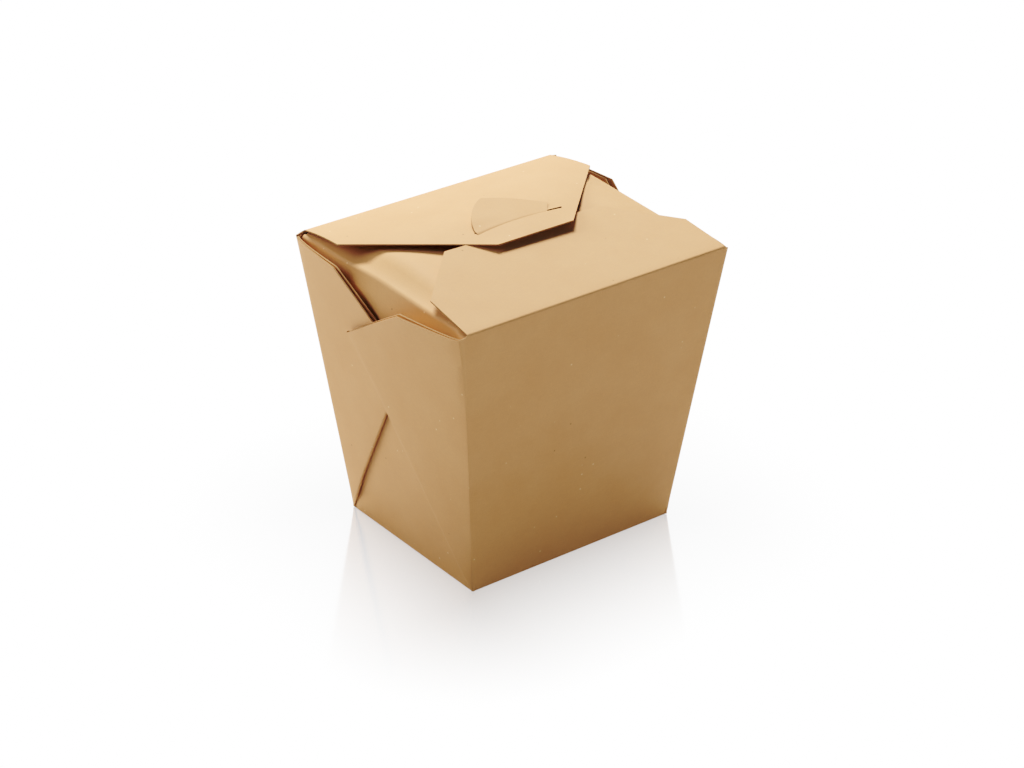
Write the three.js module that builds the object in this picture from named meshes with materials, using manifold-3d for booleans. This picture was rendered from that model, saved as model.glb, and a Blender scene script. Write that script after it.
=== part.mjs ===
// A noodle takeaway box, cut and folded from one sheet of kraft board and shut by its own lock.
//
// The sheet stands as a flared box. At each corner a gusset carries the wide panel round onto
// the narrow end and folds back on itself, so that an end is the end panel with two folded
// gussets lying over it, one over the other. Their free top edges spring outwards.
// On top the end panels roll in as dust flaps, the front flap leans up over them, and the back
// flap lies over that with the front flap's tongue pushed up through its slit.
//
// Nothing can be seen inside the shut box, so it is one solid, with the gaps at the flap edges
// and between the top layers left open as far as the eye reaches.
//
// Millimetres. X runs along the wide panels, Y from the front panel to the back one, Z up.
// The origin is the centre of the base.

import * as THREE from 'three';
import { mergeVertices } from 'three/addons/utils/BufferGeometryUtils.js';
import Module from 'manifold-3d';

// ---- the flared box ----
const HEIGHT = 102;
const BASE = { width: 81.2, depth: 67.3 };
const TOP = { width: 105.1, depth: 91.6 };
const LAYER = 0.8; // one thickness of board, a little over the real 0.45 so that it stays sturdy
const EMBED = 3; // how far a layer reaches into the solid that carries it

// ---- the end panels and their dust flaps ----
const RECESS = 2.2; // how far an end panel leans in at the rim, behind its gussets
const RECESS_START = 50; // up the end, where it begins to lean in
const CORNER_FOLD = 1.6; // board left at each upright fold beside the recess
const ROLL = 1.6; // radius of the soft fold from an end panel over into its dust flap
const DUST = { drop: 0.6, rise: 1.9, foldedAt: 48.5, risenBy: 28 }; // below the rim, rising inwards

// ---- the gussets: two layers each, measured on the end (across, up the slope, outwards) ----
const GUSSET_HALF_ANGLE = 38.3; // degrees between the upright fold and the gusset's own fold
const GUSSET_TIP = { across: 19.6, up: 101.5 }; // the free corner, level with the cut top edge
const GUSSET_GAP_START = 0.76; // share of the height where the layers begin to part
const OVER = { fold: 3.57, spring: 15.8, slot: 0.5 }; // how far the upper gusset stands off
const UNDER = { fold: 2.2, spring: 5.4, slot: 1.0 }; // and the lower one
const SPRING_POWER = 7; // the spring-back is nearly all in the top few millimetres
const UPPER_GUSSET = { left: -1, right: 1 }; // the gusset on top: -1 the front one, 1 the back one

// ---- the top flaps, as half widths and places along Y ----
const FRONT_FLAP = { side: 50.4, shoulder: -26.1, tipSide: 30.5, edge: -6.2, slope: 0.155, twist: 0.0009 };
const BACK_FLAP = { side: 51.5, shoulder: 23.3, tipSide: 15.1, edge: -13.5 };
const BACK_RISE = { shoulder: 4.05, edge: 7.83, crown: 2, crownPower: 1.8 };
const SETBACK = { back: 9, front: 6 }; // depth of the open gap under the flap edges

// ---- the lock ----
const LOCK_CENTRE = 1.2;
const TONGUE = { neck: 14.6, root: -2.7, ear: 15.4, earAt: 2.2, tip: 17.9, curve: [10.2, 10.8] };
const TONGUE_SKEW = 2.6; // how far the neck sits to the left of the tongue, drawn askew through the slit
const TONGUE_LIFT = 0.6; // how far its root stands off the back flap
const SLIT = { half: 17.4, y: -3.1, width: 0.8, depth: 1.2 };

const halfDepth = TOP.depth / 2;
const endRun = (TOP.width - BASE.width) / 2;
const slant = Math.hypot(HEIGHT, endRun);
const taper = (TOP.depth - BASE.depth) / 2 / slant; // an upright fold's spread, up the end
const foldRun = Math.tan(THREE.MathUtils.degToRad(GUSSET_HALF_ANGLE) - Math.atan(taper));

const wasm = await Module();
wasm.setup();

// A closed geometry as a solid, after the move that puts it in place.
function toSolid(geometry, move = new THREE.Matrix4()) {
  geometry.deleteAttribute('normal');
  geometry.deleteAttribute('uv');
  const merged = mergeVertices(geometry.applyMatrix4(move));
  const corners = new Uint32Array(merged.index.array);
  if (move.determinant() < 0) corners.reverse(); // a mirrored copy is turned right side out
  const vertProperties = new Float32Array(merged.attributes.position.array);
  return new wasm.Manifold(new wasm.Mesh({ numProp: 3, vertProperties, triVerts: corners }));
}

function toGeometry(solid) {
  const { vertProperties, triVerts } = solid.getMesh();
  const geometry = new THREE.BufferGeometry();
  geometry.setAttribute('position', new THREE.BufferAttribute(vertProperties, 3));
  geometry.setIndex(new THREE.BufferAttribute(triVerts, 1));
  geometry.computeVertexNormals();
  return geometry;
}

function stations(from, to, steps) {
  return Array.from({ length: steps + 1 }, (_, i) => THREE.MathUtils.lerp(from, to, i / steps));
}

// The space between two height functions, over a grid of stations.
function slab(us, vs, low, high) {
  const nu = us.length - 1;
  const nv = vs.length - 1;
  const geometry = new THREE.BoxGeometry(nu, nv, 1, nu, nv, 1);
  const corner = geometry.attributes.position;
  for (let i = 0; i < corner.count; i += 1) {
    const u = us[Math.round(corner.getX(i) + nu / 2)];
    const v = vs[Math.round(corner.getY(i) + nv / 2)];
    const height = corner.getZ(i) > 0 ? high : low;
    corner.setXYZ(i, u, v, height(u, v));
  }
  return geometry;
}

function prism(outline, low, high) {
  const geometry = new THREE.ExtrudeGeometry(outline, { depth: high - low, bevelEnabled: false });
  return geometry.translate(0, 0, low);
}

function polygon(points) {
  return new THREE.Shape(points.map(([x, y]) => new THREE.Vector2(x, y)));
}

// An outline that is the same on both sides of X = 0, from its right half.
function symmetric(rightHalf) {
  const leftHalf = rightHalf.map(([x, y]) => [-x, y]).reverse();
  return polygon([...rightHalf, ...leftHalf]);
}

// ---- the heights of the three top surfaces, above the base ----

function dustHeight(x, y) {
  const inwards = (DUST.foldedAt - Math.abs(x)) / (DUST.foldedAt - DUST.risenBy);
  const across = THREE.MathUtils.clamp(inwards, 0, 1);
  return HEIGHT - DUST.drop + DUST.rise * across * (1 - (y / halfDepth) ** 2);
}

function frontHeight(x, y) {
  const fromHinge = y + halfDepth;
  return HEIGHT + fromHinge * (FRONT_FLAP.slope - FRONT_FLAP.twist * x);
}

// The back flap bends away from its hinge, then runs straight to its edge, crowned across.
function backHeight(x, y) {
  const fromHinge = halfDepth - y;
  const bend = halfDepth - BACK_FLAP.shoulder;
  const length = halfDepth - BACK_FLAP.edge;
  const slope = (BACK_RISE.edge - BACK_RISE.shoulder) / (length - bend);
  const hingeSlope = (2 * BACK_RISE.shoulder) / bend - slope;
  const curl = ((hingeSlope - slope) / (2 * bend)) * Math.max(0, bend - fromHinge) ** 2;
  const straight = BACK_RISE.shoulder + slope * (fromHinge - bend);
  const halfWidth = Math.min(BACK_FLAP.side, BACK_FLAP.tipSide + y - BACK_FLAP.edge);
  const across = 1 - Math.min(1, (x / Math.max(halfWidth, BACK_FLAP.tipSide)) ** 2);
  const along = Math.sin(Math.PI * Math.min(1, Math.max(0, fromHinge / length) ** BACK_RISE.crownPower));
  return HEIGHT + straight - curl + BACK_RISE.crown * across * along;
}

// ---- the flared body, solid up to the dust flaps ----

function flaredBody() {
  const frustum = new THREE.BoxGeometry(1, 1, 1);
  const corner = frustum.attributes.position;
  for (let i = 0; i < corner.count; i += 1) {
    const size = corner.getZ(i) > 0 ? TOP : BASE;
    const z = corner.getZ(i) > 0 ? HEIGHT : 0;
    corner.setXYZ(i, corner.getX(i) * size.width, corner.getY(i) * size.depth, z);
  }
  const half = [DUST.risenBy, DUST.foldedAt, TOP.width / 2 + 1];
  const across = [...half.map((x) => -x).reverse(), ...half];
  const deep = stations(-halfDepth - 1, halfDepth + 1, 8);
  const below = slab(across, deep, () => -1, dustHeight);
  return toSolid(frustum).intersect(toSolid(below));
}

// ---- the ends ----

// Takes (across, up the slope, outwards) on an end to its place on the box.
function endPlace(side) {
  const lean = Math.atan2(endRun, HEIGHT);
  const across = new THREE.Vector3(0, 1, 0);
  const up = new THREE.Vector3(Math.sin(lean), 0, Math.cos(lean));
  const out = new THREE.Vector3(Math.cos(lean), 0, -Math.sin(lean));
  const place = new THREE.Matrix4().makeBasis(across, up, out).setPosition(BASE.width / 2, 0, 0);
  return place.premultiply(new THREE.Matrix4().makeScale(side, 1, 1));
}

function uprightFold(up) {
  return BASE.depth / 2 + up * taper;
}

// The end panel leans in towards the rim and rolls over into its dust flap.
function endRecess(side) {
  const above = slant + EMBED;
  const rollEnd = slant - DUST.drop - LAYER / 4;
  const rollStart = rollEnd - ROLL;
  const floor = (y, up) => {
    const climb = Math.min(1, (up - RECESS_START) / (rollStart - RECESS_START));
    const turn = THREE.MathUtils.clamp((up - rollStart) / ROLL, 0, 1);
    return LAYER / 4 - (RECESS + LAYER / 4) * climb - ROLL * (1 - Math.sqrt(1 - turn ** 2));
  };
  const ups = [RECESS_START, ...stations(rollStart, rollEnd, 4), above];
  const space = slab([-halfDepth, halfDepth], ups, floor, () => EMBED);
  const low = uprightFold(RECESS_START) - CORNER_FOLD;
  const high = uprightFold(above) - CORNER_FOLD;
  const window = polygon([
    [-low, RECESS_START - 1],
    [low, RECESS_START - 1],
    [high, above + 1],
    [-high, above + 1],
  ]);
  const place = endPlace(side);
  return toSolid(space, place).intersect(toSolid(prism(window, -EMBED * 2, EMBED * 2), place));
}

// How far a gusset's outer face stands off the plane of the end. It hangs from the upright fold
// at the front (panel -1) or at the back (panel 1).
function gussetStand(gusset, panel, y, up) {
  const share = up / slant;
  const inwards = uprightFold(up) - panel * y;
  const width = Math.max((foldRun + taper) * up, LAYER);
  const across = THREE.MathUtils.clamp(inwards / width, 0, 1);
  const folded = gusset.fold * Math.sqrt(share) * (1 - (1 - across) ** 2);
  const sprung = gusset.spring * share ** SPRING_POWER * across * (1 - across);
  return folded + sprung;
}

// Where the cut edge, square to the gusset's fold, meets that fold.
function gussetFoldEnd() {
  const fromTip = foldRun * (BASE.depth / 2 - GUSSET_TIP.across);
  const up = (GUSSET_TIP.up + fromTip) / (1 + foldRun ** 2);
  return [foldRun * up - BASE.depth / 2, up];
}

// The gusset's four corners on the end, drawn in from its upright fold and its own fold.
function gussetOutline(panel, fromUpright = 0, fromFold = 0, over = 0) {
  const [foldAcross, foldUp] = gussetFoldEnd();
  const corners = [
    [-BASE.depth / 2 + fromUpright, 0],
    [foldAcross - fromFold, foldUp + over],
    [-GUSSET_TIP.across, GUSSET_TIP.up + over],
    [-uprightFold(GUSSET_TIP.up) + fromUpright, GUSSET_TIP.up + over],
  ];
  return polygon(corners.map(([y, up]) => [-panel * y, up]));
}

function gussetSolid(gusset, panel, side) {
  const place = endPlace(side);
  const parted = GUSSET_GAP_START * slant;
  const outer = (y, up) => gussetStand(gusset, panel, y, up);
  const inner = (y, up) => {
    const lift = THREE.MathUtils.smoothstep(up, parted, slant * 0.97);
    return THREE.MathUtils.lerp(-EMBED, outer(y, up) - 2 * LAYER - gusset.slot, lift);
  };
  const across = stations(-halfDepth - 1, halfDepth + 1, 14);
  const ups = [...stations(0, parted, 4), ...stations(parted, slant + 1, 6).slice(1)];
  const sheet = toSolid(slab(across, ups, inner, outer), place);
  const shape = toSolid(prism(gussetOutline(panel), -EMBED * 2, EMBED * 4), place);

  // the slot between the gusset's two layers, open along the cut edge
  const slotTop = (y, up) => outer(y, up) - LAYER;
  const slotFloor = (y, up) => {
    const open = (up - parted) / (slant - parted);
    return slotTop(y, up) - LAYER / 20 - gusset.slot * THREE.MathUtils.clamp(open, 0, 1);
  };
  const slot = toSolid(slab(across, stations(parted, slant + 2, 6), slotFloor, slotTop), place);
  const window = gussetOutline(panel, 2 * CORNER_FOLD, 2 * CORNER_FOLD, CORNER_FOLD);
  const slotShape = toSolid(prism(window, -EMBED * 2, EMBED * 4), place);
  return sheet.intersect(shape).subtract(slot.intersect(slotShape));
}

// ---- the top flaps ----

function frontFlap() {
  const { side, shoulder, tipSide, edge } = FRONT_FLAP;
  const outline = symmetric([[TOP.width / 2, -halfDepth], [side, shoulder], [tipSide, edge]]);
  const grid = [stations(-TOP.width / 2, TOP.width / 2, 6), stations(-halfDepth, edge, 2)];
  const sheet = slab(...grid, (x, y) => frontHeight(x, y) - LAYER, frontHeight);
  return toSolid(sheet).intersect(toSolid(prism(outline, HEIGHT - EMBED, HEIGHT * 2)));
}

function backFlap() {
  const { side, shoulder, tipSide, edge } = BACK_FLAP;
  const outline = symmetric([[tipSide, edge], [side, shoulder], [TOP.width / 2, halfDepth]]);
  const grid = [stations(-TOP.width / 2, TOP.width / 2, 14), stations(edge, halfDepth, 12)];
  const sheet = slab(...grid, (x, y) => backHeight(x, y) - LAYER, backHeight);
  return toSolid(sheet).intersect(toSolid(prism(outline, HEIGHT - EMBED, HEIGHT * 2)));
}

// What can't be seen under the flaps is filled, up to their undersides.
function underFlaps() {
  const front = FRONT_FLAP;
  const back = BACK_FLAP;
  const frontIn = SETBACK.front;
  const backIn = SETBACK.back;
  const frontChamfer = frontIn * (Math.SQRT2 - 1);
  const backChamfer = backIn * (Math.SQRT2 - 1);
  const frontOutline = symmetric([
    [TOP.width / 2 - frontIn, -halfDepth + EMBED],
    [front.side - frontIn, front.shoulder - frontChamfer],
    [front.tipSide - frontChamfer, front.edge - frontIn],
  ]);
  const backOutline = symmetric([
    [back.tipSide - backChamfer, back.edge + backIn],
    [back.side - backIn, back.shoulder + backChamfer],
    [TOP.width / 2 - backIn, halfDepth - EMBED],
  ]);
  const floor = () => HEIGHT - EMBED;
  const width = stations(-TOP.width / 2, TOP.width / 2, 14);
  const deep = stations(-halfDepth, halfDepth, 18);
  const underFront = slab(width, deep, floor, (x, y) => frontHeight(x, y) - LAYER / 2);
  const underBack = slab(width, deep, floor, (x, y) => backHeight(x, y) - LAYER / 2);
  const frontFill = toSolid(underFront).intersect(toSolid(prism(frontOutline, 0, HEIGHT * 2)));
  const backFill = toSolid(underBack).intersect(toSolid(prism(backOutline, 0, HEIGHT * 2)));
  return frontFill.add(backFill);
}

// ---- the lock: the front flap's tongue, lying on the back flap behind the slit ----

function tongueSolid() {
  const { neck, root, ear, earAt, tip, curve } = TONGUE;
  const neckCentre = LOCK_CENTRE - TONGUE_SKEW;
  const outline = new THREE.Shape();
  outline.moveTo(neckCentre - neck, root);
  outline.lineTo(neckCentre + neck, root);
  outline.lineTo(LOCK_CENTRE + ear, earAt);
  outline.quadraticCurveTo(LOCK_CENTRE + curve[0], curve[1], LOCK_CENTRE, tip);
  outline.quadraticCurveTo(LOCK_CENTRE - curve[0], curve[1], LOCK_CENTRE - ear, earAt);
  const face = (x, y) => backHeight(x, y) + LAYER + (TONGUE_LIFT * (tip - y)) / (tip - root);
  const grid = [stations(neckCentre - neck, LOCK_CENTRE + ear, 6), stations(root, tip, 5)];
  const sheet = slab(...grid, (x, y) => backHeight(x, y) - LAYER / 2, face);
  return toSolid(sheet).intersect(toSolid(prism(outline, HEIGHT, HEIGHT * 2)));
}

function slitGroove() {
  const { half, y, width, depth } = SLIT;
  const ends = [LOCK_CENTRE - half, LOCK_CENTRE + half];
  const floor = (x, deep) => backHeight(x, deep) - depth;
  const grid = [stations(...ends, 6), [y - width / 2, y + width / 2]];
  return toSolid(slab(...grid, floor, () => HEIGHT + EMBED * 4));
}

let carton = flaredBody();
for (const [side, upper] of [[-1, UPPER_GUSSET.left], [1, UPPER_GUSSET.right]]) {
  carton = carton.subtract(endRecess(side));
  carton = carton.add(gussetSolid(UNDER, -upper, side));
  carton = carton.add(gussetSolid(OVER, upper, side));
}
carton = carton.add(frontFlap()).add(backFlap()).add(underFlaps());
carton = carton.add(tongueSolid()).subtract(slitGroove());

const kraft = new THREE.MeshStandardMaterial({ color: 0xd9b78c, roughness: 0.8, metalness: 0 });
const mesh = new THREE.Mesh(toGeometry(carton), kraft);
mesh.name = 'carton';

const box = new THREE.Group();
box.add(mesh);

export default box;
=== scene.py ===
# %% [markdown]
# # A noodle takeaway box, folded from one sheet of kraft board
#
# The real box starts as a flat blank: a base, four walls, four flaps and, between each pair of
# walls, a web that is folded in half and laid over the end. No wall is cut from its neighbour,
# which is why such a box holds sauce. Those folded webs, the gussets, are its most telling
# feature, with the tongue that locks the top.
#
# A block with lines drawn on it would never catch the light as folded board does. So here each
# layer is a thin sheet that really bends round its folds, has a cut edge, and leaves dark gaps
# where the layers stand apart. The frame gives the place of all of it.

import math

import bmesh
import bpy
from mathutils import Matrix, Vector


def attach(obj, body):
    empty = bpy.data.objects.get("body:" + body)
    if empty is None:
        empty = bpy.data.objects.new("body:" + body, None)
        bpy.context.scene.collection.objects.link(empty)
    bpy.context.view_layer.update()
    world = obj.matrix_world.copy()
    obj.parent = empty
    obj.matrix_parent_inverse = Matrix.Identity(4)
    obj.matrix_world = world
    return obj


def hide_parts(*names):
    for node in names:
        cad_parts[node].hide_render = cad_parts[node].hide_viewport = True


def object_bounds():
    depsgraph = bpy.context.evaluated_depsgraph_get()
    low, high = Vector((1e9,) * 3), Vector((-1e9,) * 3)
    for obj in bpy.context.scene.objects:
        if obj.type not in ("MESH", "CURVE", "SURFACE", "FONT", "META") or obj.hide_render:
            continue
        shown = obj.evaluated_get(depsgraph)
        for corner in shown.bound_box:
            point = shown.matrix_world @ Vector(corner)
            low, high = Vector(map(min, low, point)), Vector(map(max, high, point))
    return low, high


MM = 0.001  # all sizes below are in millimetres, and this turns them to metres


def add_object(name, data):
    """Puts a mesh, light or camera in the scene."""
    made = bpy.data.objects.new(name, data)
    bpy.context.scene.collection.objects.link(made)
    return made


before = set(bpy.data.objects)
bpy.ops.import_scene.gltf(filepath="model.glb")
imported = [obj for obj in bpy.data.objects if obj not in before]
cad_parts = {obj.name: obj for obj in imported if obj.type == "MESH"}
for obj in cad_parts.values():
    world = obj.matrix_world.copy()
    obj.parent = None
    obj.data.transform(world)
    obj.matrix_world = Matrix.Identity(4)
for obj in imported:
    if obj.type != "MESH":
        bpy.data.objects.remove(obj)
cad_low, cad_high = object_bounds()
RIM_HALF_DEPTH = cad_high.y / MM
print(f"the solid carton is {(cad_high.x - cad_low.x) / MM:.1f} mm long over its gussets")

# %% [markdown]
# ## The flared body
#
# The walls lean outwards, so that empty boxes nest. Every height on them is given as a share of
# the full height, 0 at the base and 1 at the rim, because then one number places a point on the
# wide panels and on the ends alike, and the sheets meet at the upright folds without fitting.

# %% The body's sizes
HEIGHT = 102
BASE_HALF_WIDTH = 40.6
BASE_HALF_DEPTH = 33.65
RIM_HALF_WIDTH = 52.55
BOARD = 0.45  # the thickness of the board
FOLD_RADIUS = 0.4  # of the upright and bottom folds, on the outside
RIM_RADIUS = 0.8  # of the soft folds at the top of the wide panels
BULGE = 0.5  # how far a wide panel bows out in the middle
PINCHED = 0.3  # at the base's corners the folds have this share of their radius
PINCH_SHARE = 0.08  # the share of the height over which they widen again

END_LEAN = math.atan2(RIM_HALF_WIDTH - BASE_HALF_WIDTH, HEIGHT)
END_SLANT = HEIGHT / math.cos(END_LEAN)
END_TAPER = (RIM_HALF_DEPTH - BASE_HALF_DEPTH) / END_SLANT


def mix(a, b, t):
    return a + (b - a) * t


def clamp(t):
    return min(max(t, 0.0), 1.0)


def smooth(t):
    t = clamp(t)
    return t * t * (3 - 2 * t)


def steps(start, end, count):
    return [mix(start, end, i / count) for i in range(count + 1)]


def half_width(share):
    return mix(BASE_HALF_WIDTH, RIM_HALF_WIDTH, share)


def half_depth(share):
    return mix(BASE_HALF_DEPTH, RIM_HALF_DEPTH, share)


def pinch(share):
    """The folds are pressed sharper towards the base's corners, where the gussets end in a point."""
    return mix(PINCHED, 1, smooth(share / PINCH_SHARE))


def on_end(inwards, stand, share):
    """A point of the left end: inwards from its front upright fold, and off the end's plane."""
    x = -half_width(share) - stand * math.cos(END_LEAN)
    y = -half_depth(share) + inwards
    z = HEIGHT * share - stand * math.sin(END_LEAN)
    return Vector((x, y, z))


def bend(start, corner, end, t):
    """A soft fold: the curve from start to end that is pulled towards the corner."""
    return start * (1 - t) ** 2 + corner * 2 * t * (1 - t) + end * t**2


print(f"an end is {END_SLANT:.1f} mm up its slope and leans {math.degrees(END_LEAN):.1f} degrees")

# %% [markdown]
# ## The gussets
#
# A gusset hangs from the upright fold, runs across the end to its own slanted fold, turns back on
# itself and returns to the upright fold, where a small loop carries it into the end panel. Two
# gussets lie over each end, one over the other, so the upper one stands further off.
#
# Board springs back. Near the top, where nothing holds them, the layers part and bow outwards,
# and that shows as fine dark lines between the cut edges. One function gives the height of a
# gusset above the end, and the four gussets differ only in its numbers, which are in millimetres.
# The two on top differ only at their free corners, and the two below only beside the upright fold.

# %% How far a gusset stands off the end
GUSSET_HALF_ANGLE = math.radians(38.3)  # between the upright fold and the gusset's own fold
GUSSET_TIP = (26.07, 101.5)  # its free corner: inwards from the upright fold, and up the slope
OVER_LEFT = {
    "fold": 3.57,  # how far its slanted fold stands off at the rim
    "flare": 2.8,  # and how much further because nothing holds it there
    "spring": 4.7,  # how strongly it bows out beside the upright fold
    "lift": 0.45,  # how far all of it stands off more at the rim
    "kick": 1.35,  # and its free corner still more
    "tuck": 0.0,  # how far it is drawn in beside the upright fold
    "root": 0.0,  # how far it stands off there all the way up
    "corner": 1.0,  # how far the upright fold itself bulges at the rim
    "gap": (1.45, 2.15, 26, 2),  # of its halves: near, far, how far in that is, by which power
    "slip": 0.7,  # how far the inner half's cut edge passes the outer one's
    "radius": 0.55,  # of its slanted fold
    "inset": 0.0,  # how far that fold stays behind its line
    "loop": 0.6,  # the radius of its loop at the rim
    "free": 14,  # how far below the end panel's roll it lets go of that panel
}
OVER_RIGHT = OVER_LEFT | {"kick": 0.4, "slip": -1.2}
UNDER_LEFT = {
    "fold": 2.4,
    "flare": 2.1,
    "spring": 1.2,
    "lift": 0.8,
    "kick": 0.0,
    "tuck": 1.05,
    "root": 0.1,
    "corner": 0.0,
    "gap": (0.95, 2.1, 49, 1),
    "slip": 0.0,
    "radius": 0.6,
    "inset": 1.2,
    "loop": 0.32,
    "free": 2.5,
}
UNDER_RIGHT = UNDER_LEFT | {"root": 0.8}

SPRING_POWER = 7  # the spring-back is nearly all in the top few millimetres
FLARE_POWER = 4  # the flare starts lower down
BOW_POWER = 0.22  # a bow rises steeply beside the upright fold
TUCK_REACH = 4  # how far in a tuck has mostly gone
INSET_SHARE = 0.2  # the share of the height over which an inset grows
PARTING = 0.08  # the share of the height over which the layers part, above the fold's end
SLIPPING = 0.04  # and over which the inner half's cut edge slips past the outer one's
LOOP_AT = 0.7  # how near the loop comes to the upright fold
LOOP_RADIUS = 0.45  # of the loop lower down
LEAST_FLAT = 0.1  # the flat of a layer is never narrower than this

FOLD_STRETCH = 1 / math.cos(GUSSET_HALF_ANGLE)  # a slanted fold's radius, measured level
SPREAD = math.tan(GUSSET_HALF_ANGLE - math.atan(END_TAPER)) + END_TAPER


def fold_end():
    """Where the cut edge, which is square to the gusset's fold, meets that fold."""
    run = SPREAD - END_TAPER
    tip_across = GUSSET_TIP[0] - BASE_HALF_DEPTH - GUSSET_TIP[1] * END_TAPER
    up = (GUSSET_TIP[1] + run * (BASE_HALF_DEPTH + tip_across)) / (1 + run**2)
    return SPREAD * up, up


FOLD_END = fold_end()
FOLD_END_SHARE = FOLD_END[1] / END_SLANT
TIP_SHARE = GUSSET_TIP[1] / END_SLANT


def gusset_stand(gusset, inwards, share):
    """How far the gusset's outer half stands off the end's plane."""
    across = clamp(inwards / max(SPREAD * share * END_SLANT, BOARD))
    folded = gusset["fold"] * math.sqrt(share) * (1 - (1 - across) ** 2)
    flared = gusset["flare"] * share**FLARE_POWER * across
    bowed = gusset["spring"] * across**BOW_POWER * (1 - across)
    tucked = gusset["tuck"] * math.exp(-inwards / TUCK_REACH)
    rooted = gusset["root"] * (1 - across)
    kicked = gusset["kick"] * clamp(inwards / GUSSET_TIP[0]) ** 2
    sprung = bowed + gusset["lift"] + kicked - tucked
    return rooted + folded + flared + sprung * share**SPRING_POWER


def gusset_reach(gusset, share):
    """How far in the gusset reaches: to its fold, or above the fold's end to its cut edge."""
    up = share * END_SLANT
    inset = gusset["inset"] * smooth(share / INSET_SHARE)
    if share <= FOLD_END_SHARE:
        return SPREAD * up - inset, 1.0
    climb = (up - FOLD_END[1]) / (GUSSET_TIP[1] - FOLD_END[1])
    return mix(FOLD_END[0] - inset, GUSSET_TIP[0], climb), 1 - climb


def fold_radius(gusset, share):
    return gusset["radius"] * pinch(share)


def layer_gap(gusset, inwards, share):
    """Between the outer faces of a gusset's two halves."""
    near, far, reach, power = gusset["gap"]
    parted = smooth((share - FOLD_END_SHARE) / PARTING)
    spread = mix(near, far, clamp(inwards / reach) ** power)
    return mix(2 * fold_radius(gusset, share), spread, parted)


def gusset_edge(gusset, share):
    """Where the flat of the gusset ends and its fold begins."""
    reach, folded = gusset_reach(gusset, share)
    least = FOLD_RADIUS * pinch(share) + LEAST_FLAT
    return max(reach - FOLD_STRETCH * fold_radius(gusset, share) * folded, least)


def loop_radius(gusset, share):
    return mix(LOOP_RADIUS * pinch(share), gusset["loop"], share**SPRING_POWER)


def loop_end(gusset, share):
    """Where the loop has turned back and the end panel begins: inwards and stand."""
    radius = loop_radius(gusset, share)
    inwards = min(LOOP_AT * pinch(share) + radius, gusset_edge(gusset, share) - LEAST_FLAT)
    inner = gusset_stand(gusset, inwards, share) - layer_gap(gusset, inwards, share)
    return inwards, inner - 2 * radius


print(f"the gussets' folds end {FOLD_END[1]:.1f} mm up and {FOLD_END[0]:.1f} mm in")

# %% [markdown]
# ## A blank as a table of points
#
# Board bends but hardly stretches, so a folded sheet stays a grid: rows that run round the box
# and columns that run up it. The grid below is a table of points, and a place where the board is
# cut away holds None. A face is made wherever four neighbours are there, so the outline, the
# notches at the rim and the free edges of the gussets all come from which points are left out.
#
# Each point also carries how sharply the board is creased there, from 0 to 1, for the material to
# use: the fibres at a fold are broken and look paler.

# %% A table of points to a sheet
WELD = 0.02  # points nearer than this are one point


class Blank:
    """The board's outer face as rows of points, each None or (place, crease)."""

    def __init__(self, name):
        self.name = name
        self.rows = []
        self.cut = set()  # cells that are cut out, by row and column

    def add_row(self, points):
        self.rows.append(points)

    def to_object(self, facing=1):
        mesh = bmesh.new()
        crease_layer = mesh.verts.layers.float.new("crease")
        corners = {}
        for r, row in enumerate(self.rows):
            for c, point in enumerate(row):
                if point is None:
                    continue
                place, crease = point
                vertex = mesh.verts.new((facing * place.x * MM, facing * place.y * MM, place.z * MM))
                vertex[crease_layer] = crease
                corners[r, c] = vertex
        for r in range(len(self.rows) - 1):
            for c in range(len(self.rows[r]) - 1):
                keys = [(r, c), (r, c + 1), (r + 1, c + 1), (r + 1, c)]
                if (r, c) in self.cut or any(key not in corners for key in keys):
                    continue
                mesh.faces.new([corners[key] for key in keys])
        loose = [vertex for vertex in mesh.verts if not vertex.link_faces]
        bmesh.ops.delete(mesh, geom=loose, context="VERTS")
        bmesh.ops.remove_doubles(mesh, verts=mesh.verts, dist=WELD * MM)
        data = bpy.data.meshes.new(self.name)
        mesh.to_mesh(data)
        mesh.free()
        return add_object(self.name, data)


print(f"points nearer than {WELD} mm become one")

# %% [markdown]
# ## Giving the sheets their thickness
#
# Every sheet gets its thickness by the same rule, which makes it a job for Geometry Nodes: the
# face is extruded inwards by the thickness of the board, turned over and joined to the face it
# came from. The extrusion's side faces are the cut edges, where the open core of the board shows,
# so the tree gives them a material of their own. Solidify would do the same, but here each step
# can be seen and the cut edges are known by name.

# %% Adding nodes


def add_node(tree, kind, links=None, **settings):
    """Adds a node, sets its properties, and fills or links its inputs by name or number."""
    node = tree.nodes.new(kind)
    for key, value in settings.items():
        setattr(node, key, value)
    for key, value in (links or {}).items():
        if isinstance(value, bpy.types.NodeSocket):
            tree.links.new(value, node.inputs[key])
        else:
            node.inputs[key].default_value = value
    return node


print(f"node names are those of Blender {bpy.app.version_string}")

# %% The board tree
SEAM = 0.002  # the extruded faces meet the sheet within this


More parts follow.
